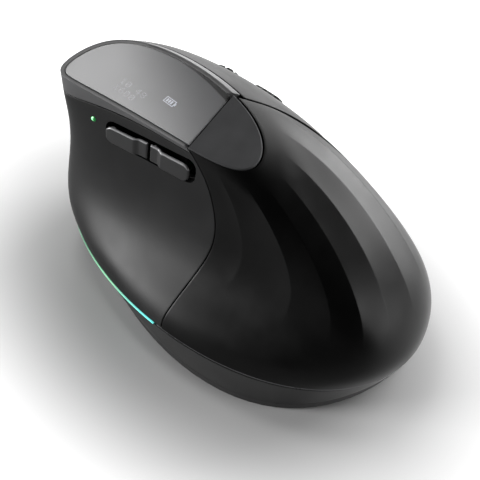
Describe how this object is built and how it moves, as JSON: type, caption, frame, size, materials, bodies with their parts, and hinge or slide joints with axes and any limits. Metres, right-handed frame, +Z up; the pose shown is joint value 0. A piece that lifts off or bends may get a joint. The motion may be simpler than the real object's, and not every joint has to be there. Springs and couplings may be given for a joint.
{
  "type": "vertical mouse",
  "caption": "Right-hand vertical computer mouse with a slanted fluted grip, a display window on top, thumb keys, a scroll wheel and a light strip.",
  "frame": {"origin": "under the middle of the base, at table height", "axes": "+X to the finger side, +Y to the front, +Z up"},
  "size_m": [0.075, 0.1219, 0.0688],
  "materials": {
    "shell": "satin",
    "thumb": "soft satin",
    "base": "satin",
    "trim": "satin",
    "light": "frosted",
    "feet": "smooth",
    "steel": "brushed",
    "frame": "semi-gloss",
    "window": "high gloss, smoked",
    "cap": "fine matte",
    "key": "satin",
    "bezel": "dark gloss",
    "lamp": "clear",
    "tyre": "ribbed rubber",
    "hub": "satin",
    "acetal": "smooth",
    "inner": "moulded",
    "board": "solder mask",
    "switch": "moulded",
    "panel": "display glass",
    "cable": "film",
    "lens": "clear",
    "cell": "foil",
    "slider": "satin",
    "chip": "clear"
  },
  "bodies": {
    "housing": {"base_plate": "base", "base_skirt": "base", "trim_ring": "trim", "light_strip": "light", "feet": "feet", "base_screws": "steel", "palm_shell": "shell", "thumb_panel": "thumb", "front_shell": "shell", "side_shell": "shell", "top_frame": "frame", "display_window": "window", "rear_cap": "cap", "button_pins": "steel", "centre_strip": "base", "key_bezel": "bezel", "status_lamp": "lamp", "chassis": "inner", "finger_carrier": "inner", "finger_board": "board", "left_switch": "switch", "right_switch": "switch", "middle_switch": "switch", "dpi_switch": "switch", "side_board": "board", "side_switches": "switch", "display_module": "panel", "display_cable": "cable", "main_board": "board", "board_screws": "steel", "sensor_lens": "lens", "sensor_chip": "switch", "battery_tray": "inner", "battery": "cell", "usb_board": "board", "usb_socket": "steel", "power_switch": "switch", "mode_switch": "switch", "light_board": "board", "light_chips": "chip"},
    "left_button": {"left_button": "shell"},
    "right_button": {"right_button": "shell"},
    "wheel_carriage": {"wheel_carriage": "acetal", "wheel_encoder": "switch"},
    "wheel": {"wheel_tyre": "tyre", "wheel_hub": "hub", "wheel_axle": "steel"},
    "dpi_button": {"dpi_button": "key"},
    "forward_key": {"forward_key": "key"},
    "back_key": {"back_key": "key"},
    "mode_button": {"mode_button": "slider"},
    "power_slider": {"power_slider": "slider"}
  },
  "joints": [
    {"name": "left_press", "type": "hinge", "parent": "housing", "child": "left_button", "pos_m": [0.0144, 0.00156, 0.05389], "axis": [-0.3091, -0.1142, 0.9441], "range_deg": [0, 1], "stiffness_Nm_per_rad": 0.6, "springref_deg": -1.15},
    {"name": "right_press", "type": "hinge", "parent": "housing", "child": "right_button", "pos_m": [0.02295, -0.01054, 0.034], "axis": [-0.3091, -0.1142, 0.9441], "range_deg": [0, 0.75], "stiffness_Nm_per_rad": 1, "springref_deg": -1.15},
    {"name": "wheel_click", "type": "slide", "parent": "housing", "child": "wheel_carriage", "axis": [-0.9236, -0.2006, -0.3267], "range_m": [0, 0.0005], "stiffness_N_per_m": 600, "springref_m": -0.001},
    {"name": "wheel_spin", "type": "hinge", "parent": "wheel_carriage", "child": "wheel", "pos_m": [0.01382, 0.02642, 0.04754], "axis": [-0.3091, -0.1142, 0.9441], "continuous": true},
    {"name": "dpi_press", "type": "slide", "parent": "housing", "child": "dpi_button", "axis": [-0.9236, -0.2006, -0.3267], "range_m": [0, 0.0005], "stiffness_N_per_m": 600, "springref_m": -0.001},
    {"name": "forward_press", "type": "slide", "parent": "housing", "child": "forward_key", "axis": [1, 0, 0], "range_m": [0, 0.0006], "stiffness_N_per_m": 600, "springref_m": -0.001},
    {"name": "back_press", "type": "slide", "parent": "housing", "child": "back_key", "axis": [1, 0, 0], "range_m": [0, 0.0006], "stiffness_N_per_m": 600, "springref_m": -0.001},
    {"name": "mode_press", "type": "slide", "parent": "housing", "child": "mode_button", "axis": [0, 0, 1], "range_m": [0, 0.0005], "stiffness_N_per_m": 600, "springref_m": -0.001},
    {"name": "power_slide", "type": "slide", "parent": "housing", "child": "power_slider", "axis": [0, 1, 0], "range_m": [0, 0.003]}
  ]
}
